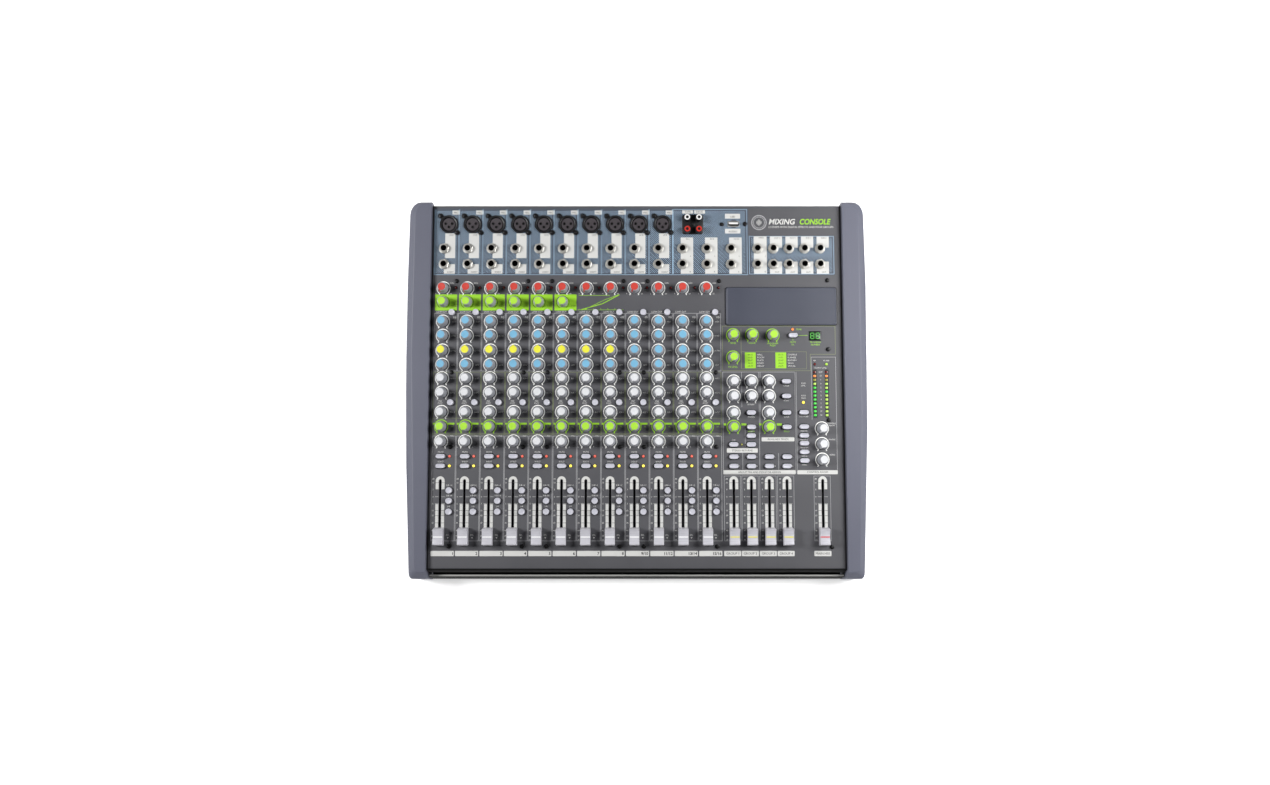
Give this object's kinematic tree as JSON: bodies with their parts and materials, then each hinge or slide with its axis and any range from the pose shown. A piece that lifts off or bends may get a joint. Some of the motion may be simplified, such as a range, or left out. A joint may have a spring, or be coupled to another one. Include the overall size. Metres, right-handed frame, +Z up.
{
  "type": "mixing console",
  "caption": "Desktop audio mixing console: sloped steel panel with strips of knobs, faders, buttons and sockets between two moulded end cheeks, on a steel tray with rubber feet.",
  "frame": {"origin": "centre of the bounding box's bottom face, on the surface that the feet stand on", "axes": "+X to the right, +Y to the rear (sockets), +Z up; the panel slopes 7 degrees up to the rear"},
  "size_m": [0.5188, 0.4208, 0.0982],
  "materials": {
    "panel_metal": "satin dark grey powder coat",
    "tray_metal": "satin black powder coat",
    "cheek_plastic": "fine-textured grey moulding",
    "plate_plastic": "satin blue-grey moulding",
    "board": "circuit board with solder mask",
    "knob_plastic": "satin grey moulding with a coloured top",
    "button_plastic": "satin pale grey moulding",
    "cap_plastic": "semi-gloss silver-white moulding",
    "black_plastic": "black moulding",
    "smoked_plastic": "smoked window",
    "ribbon": "grey flat cable",
    "rubber": "black rubber"
  },
  "bodies": {
    "root": {"top_panel": "panel_metal", "base_tray": "tray_metal", "left_cheek": "cheek_plastic", "right_cheek": "cheek_plastic", "channel_board": "board", "master_board": "board", "fader_board": "board", "connector_board": "board", "effects_board": "board", "display_module": "smoked_plastic", "meter_module": "smoked_plastic", "accessory_plate": "plate_plastic", "power_supply": "board", "power_inlet": "black_plastic", "foot_front_left": "rubber", "foot_front_right": "rubber", "foot_rear_left": "rubber", "foot_rear_right": "rubber", "ribbon_cable_channels": "ribbon", "ribbon_cable_master": "ribbon"},
    "strip_1_gain_knob": {"strip_1_gain_knob": "knob_plastic"},
    "strip_1_compressor_knob": {"strip_1_compressor_knob": "knob_plastic"},
    "strip_1_eq_high_knob": {"strip_1_eq_high_knob": "knob_plastic"},
    "strip_1_eq_high_mid_knob": {"strip_1_eq_high_mid_knob": "knob_plastic"},
    "strip_1_eq_low_mid_knob": {"strip_1_eq_low_mid_knob": "knob_plastic"},
    "strip_1_eq_low_knob": {"strip_1_eq_low_knob": "knob_plastic"},
    "strip_1_aux_1_knob": {"strip_1_aux_1_knob": "knob_plastic"},
    "strip_1_aux_2_knob": {"strip_1_aux_2_knob": "knob_plastic"},
    "strip_1_aux_3_knob": {"strip_1_aux_3_knob": "knob_plastic"},
    "strip_1_effects_knob": {"strip_1_effects_knob": "knob_plastic"},
    "strip_1_pan_knob": {"strip_1_pan_knob": "knob_plastic"},
    "effects_level_knob": {"effects_level_knob": "knob_plastic"},
    "control_room_knob": {"control_room_knob": "knob_plastic"},
    "phones_knob": {"phones_knob": "knob_plastic"},
    "monitor_blend_knob": {"monitor_blend_knob": "knob_plastic"},
    "strip_1_low_cut_button": {"strip_1_low_cut_button": "button_plastic"},
    "strip_1_pre_post_button": {"strip_1_pre_post_button": "button_plastic"},
    "strip_1_assign_12_button": {"strip_1_assign_12_button": "button_plastic"},
    "strip_1_assign_34_button": {"strip_1_assign_34_button": "button_plastic"},
    "strip_1_assign_main_button": {"strip_1_assign_main_button": "button_plastic"},
    "strip_1_mute_button": {"strip_1_mute_button": "button_plastic"},
    "strip_1_solo_button": {"strip_1_solo_button": "button_plastic"},
    "fader_01": {"fader_01": "cap_plastic"},
    "fader_02": {"fader_02": "cap_plastic"},
    "fader_03": {"fader_03": "cap_plastic"},
    "fader_04": {"fader_04": "cap_plastic"},
    "fader_05": {"fader_05": "cap_plastic"},
    "fader_06": {"fader_06": "cap_plastic"},
    "fader_07": {"fader_07": "cap_plastic"},
    "fader_08": {"fader_08": "cap_plastic"},
    "fader_09": {"fader_09": "cap_plastic"},
    "fader_10": {"fader_10": "cap_plastic"},
    "fader_11": {"fader_11": "cap_plastic"},
    "fader_12": {"fader_12": "cap_plastic"},
    "group_fader_1": {"group_fader_1": "cap_plastic"},
    "group_fader_2": {"group_fader_2": "cap_plastic"},
    "group_fader_3": {"group_fader_3": "cap_plastic"},
    "group_fader_4": {"group_fader_4": "cap_plastic"},
    "main_fader": {"main_fader": "cap_plastic"},
    "power_switch": {"power_switch": "black_plastic"}
  },
  "joints": [
    {"name": "strip_1_gain_knob_turn", "type": "hinge", "parent": "root", "child": "strip_1_gain_knob", "pos_m": [-0.2186, 0.11193, 0.07958], "axis": [0, -0.1219, 0.9925], "range_deg": [-300, 0]},
    {"name": "strip_1_compressor_knob_turn", "type": "hinge", "parent": "root", "child": "strip_1_compressor_knob", "pos_m": [-0.2186, 0.09615, 0.07765], "axis": [0, -0.1219, 0.9925], "range_deg": [-300, 0]},
    {"name": "strip_1_eq_high_knob_turn", "type": "hinge", "parent": "root", "child": "strip_1_eq_high_knob", "pos_m": [-0.2186, 0.07421, 0.07495], "axis": [0, -0.1219, 0.9925], "range_deg": [-150, 150]},
    {"name": "strip_1_eq_high_mid_knob_turn", "type": "hinge", "parent": "root", "child": "strip_1_eq_high_mid_knob", "pos_m": [-0.2186, 0.05823, 0.07299], "axis": [0, -0.1219, 0.9925], "range_deg": [-150, 150]},
    {"name": "strip_1_eq_low_mid_knob_turn", "type": "hinge", "parent": "root", "child": "strip_1_eq_low_mid_knob", "pos_m": [-0.2186, 0.04156, 0.07094], "axis": [0, -0.1219, 0.9925], "range_deg": [-150, 150]},
    {"name": "strip_1_eq_low_knob_turn", "type": "hinge", "parent": "root", "child": "strip_1_eq_low_knob", "pos_m": [-0.2186, 0.02548, 0.06897], "axis": [0, -0.1219, 0.9925], "range_deg": [-150, 150]},
    {"name": "strip_1_aux_1_knob_turn", "type": "hinge", "parent": "root", "child": "strip_1_aux_1_knob", "pos_m": [-0.2186, 0.01039, 0.06712], "axis": [0, -0.1219, 0.9925], "range_deg": [-300, 0]},
    {"name": "strip_1_aux_2_knob_turn", "type": "hinge", "parent": "root", "child": "strip_1_aux_2_knob", "pos_m": [-0.2186, -0.00559, 0.06515], "axis": [0, -0.1219, 0.9925], "range_deg": [-300, 0]},
    {"name": "strip_1_aux_3_knob_turn", "type": "hinge", "parent": "root", "child": "strip_1_aux_3_knob", "pos_m": [-0.2186, -0.02723, 0.0625], "axis": [0, -0.1219, 0.9925], "range_deg": [-300, 0]},
    {"name": "strip_1_effects_knob_turn", "type": "hinge", "parent": "root", "child": "strip_1_effects_knob", "pos_m": [-0.2186, -0.0434, 0.06051], "axis": [0, -0.1219, 0.9925], "range_deg": [-300, 0]},
    {"name": "strip_1_pan_knob_turn", "type": "hinge", "parent": "root", "child": "strip_1_pan_knob", "pos_m": [-0.2186, -0.05988, 0.05849], "axis": [0, -0.1219, 0.9925], "range_deg": [-150, 150]},
    {"name": "effects_level_knob_turn", "type": "hinge", "parent": "root", "child": "effects_level_knob", "pos_m": [0.1084, 0.03372, 0.06998], "axis": [0, -0.1219, 0.9925], "range_deg": [-300, 0]},
    {"name": "control_room_knob_turn", "type": "hinge", "parent": "root", "child": "control_room_knob", "pos_m": [0.207, -0.04559, 0.06024], "axis": [0, -0.1219, 0.9925], "range_deg": [-300, 0]},
    {"name": "phones_knob_turn", "type": "hinge", "parent": "root", "child": "phones_knob", "pos_m": [0.207, -0.06286, 0.05812], "axis": [0, -0.1219, 0.9925], "range_deg": [-300, 0]},
    {"name": "monitor_blend_knob_turn", "type": "hinge", "parent": "root", "child": "monitor_blend_knob", "pos_m": [0.207, -0.08013, 0.056], "axis": [0, -0.1219, 0.9925], "range_deg": [-300, 0]},
    {"name": "strip_1_low_cut_button_push", "type": "slide", "parent": "root", "child": "strip_1_low_cut_button", "axis": [0, 0.1219, -0.9925], "range_m": [0, 0.0025], "stiffness_N_per_m": 200},
    {"name": "strip_1_pre_post_button_push", "type": "slide", "parent": "root", "child": "strip_1_pre_post_button", "axis": [0, 0.1219, -0.9925], "range_m": [0, 0.0025], "stiffness_N_per_m": 200},
    {"name": "strip_1_assign_12_button_push", "type": "slide", "parent": "root", "child": "strip_1_assign_12_button", "axis": [0, 0.1219, -0.9925], "range_m": [0, 0.0025], "stiffness_N_per_m": 200},
    {"name": "strip_1_assign_34_button_push", "type": "slide", "parent": "root", "child": "strip_1_assign_34_button", "axis": [0, 0.1219, -0.9925], "range_m": [0, 0.0025], "stiffness_N_per_m": 200},
    {"name": "strip_1_assign_main_button_push", "type": "slide", "parent": "root", "child": "strip_1_assign_main_button", "axis": [0, 0.1219, -0.9925], "range_m": [0, 0.0025], "stiffness_N_per_m": 200},
    {"name": "strip_1_mute_button_push", "type": "slide", "parent": "root", "child": "strip_1_mute_button", "axis": [0, 0.1219, -0.9925], "range_m": [0, 0.0025], "stiffness_N_per_m": 200},
    {"name": "strip_1_solo_button_push", "type": "slide", "parent": "root", "child": "strip_1_solo_button", "axis": [0, 0.1219, -0.9925], "range_m": [0, 0.0025], "stiffness_N_per_m": 200},
    {"name": "fader_01_slide", "type": "slide", "parent": "root", "child": "fader_01", "axis": [0, 0.9925, 0.1219], "range_m": [0, 0.06]},
    {"name": "fader_02_slide", "type": "slide", "parent": "root", "child": "fader_02", "axis": [0, 0.9925, 0.1219], "range_m": [0, 0.06]},
    {"name": "fader_03_slide", "type": "slide", "parent": "root", "child": "fader_03", "axis": [0, 0.9925, 0.1219], "range_m": [0, 0.06]},
    {"name": "fader_04_slide", "type": "slide", "parent": "root", "child": "fader_04", "axis": [0, 0.9925, 0.1219], "range_m": [0, 0.06]},
    {"name": "fader_05_slide", "type": "slide", "parent": "root", "child": "fader_05", "axis": [0, 0.9925, 0.1219], "range_m": [0, 0.06]},
    {"name": "fader_06_slide", "type": "slide", "parent": "root", "child": "fader_06", "axis": [0, 0.9925, 0.1219], "range_m": [0, 0.06]},
    {"name": "fader_07_slide", "type": "slide", "parent": "root", "child": "fader_07", "axis": [0, 0.9925, 0.1219], "range_m": [0, 0.06]},
    {"name": "fader_08_slide", "type": "slide", "parent": "root", "child": "fader_08", "axis": [0, 0.9925, 0.1219], "range_m": [0, 0.06]},
    {"name": "fader_09_slide", "type": "slide", "parent": "root", "child": "fader_09", "axis": [0, 0.9925, 0.1219], "range_m": [0, 0.06]},
    {"name": "fader_10_slide", "type": "slide", "parent": "root", "child": "fader_10", "axis": [0, 0.9925, 0.1219], "range_m": [0, 0.06]},
    {"name": "fader_11_slide", "type": "slide", "parent": "root", "child": "fader_11", "axis": [0, 0.9925, 0.1219], "range_m": [0, 0.06]},
    {"name": "fader_12_slide", "type": "slide", "parent": "root", "child": "fader_12", "axis": [0, 0.9925, 0.1219], "range_m": [0, 0.06]},
    {"name": "group_fader_1_slide", "type": "slide", "parent": "root", "child": "group_fader_1", "axis": [0, 0.9925, 0.1219], "range_m": [0, 0.06]},
    {"name": "group_fader_2_slide", "type": "slide", "parent": "root", "child": "group_fader_2", "axis": [0, 0.9925, 0.1219], "range_m": [0, 0.06]},
    {"name": "group_fader_3_slide", "type": "slide", "parent": "root", "child": "group_fader_3", "axis": [0, 0.9925, 0.1219], "range_m": [0, 0.06]},
    {"name": "group_fader_4_slide", "type": "slide", "parent": "root", "child": "group_fader_4", "axis": [0, 0.9925, 0.1219], "range_m": [0, 0.06]},
    {"name": "main_fader_slide", "type": "slide", "parent": "root", "child": "main_fader", "axis": [0, 0.9925, 0.1219], "range_m": [0, 0.06]},
    {"name": "power_switch_rock", "type": "hinge", "parent": "root", "child": "power_switch", "pos_m": [0.1555, 0.2034, 0.044], "axis": [1, 0, 0], "range_deg": [0, 16]}
  ]
}
